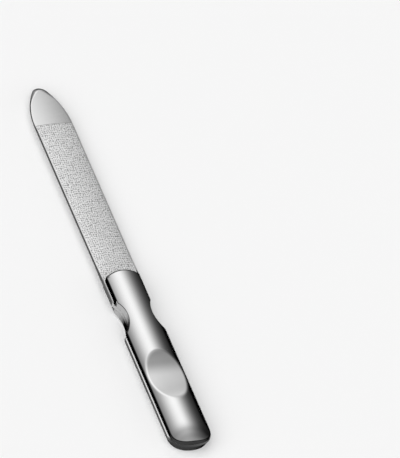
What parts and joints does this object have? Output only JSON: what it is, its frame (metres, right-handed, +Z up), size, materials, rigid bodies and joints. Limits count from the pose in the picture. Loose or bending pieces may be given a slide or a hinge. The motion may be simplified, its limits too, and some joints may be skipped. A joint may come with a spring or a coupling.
{
  "type": "nail file",
  "caption": "Flat double-sided metal nail file with a smooth pointed tip, abrasive blade faces and a polished domed handle with finger notches and thumb rests.",
  "frame": {"origin": "middle of the file's length and width, on the surface that it lies on", "axes": "+Y along the blade towards the tip, +X across the blade, +Z up out of the front face"},
  "size_m": [0.012, 0.1296, 0.006],
  "materials": {
    "blade_steel": "satin stainless steel, bare at the tip and along the edges",
    "abrasive": "fine irregular metallic grit bonded to the blade",
    "polished_steel": "mirror-polished stainless steel",
    "pin_steel": "plain ground steel dowel, hidden"
  },
  "bodies": {
    "root": {"blade": "blade_steel", "abrasive_coat_front": "abrasive", "abrasive_coat_back": "abrasive", "handle_scale_front": "polished_steel", "handle_scale_back": "polished_steel", "dowel_pin_front": "pin_steel", "dowel_pin_middle": "pin_steel", "dowel_pin_rear": "pin_steel"}
  },
  "joints": []
}
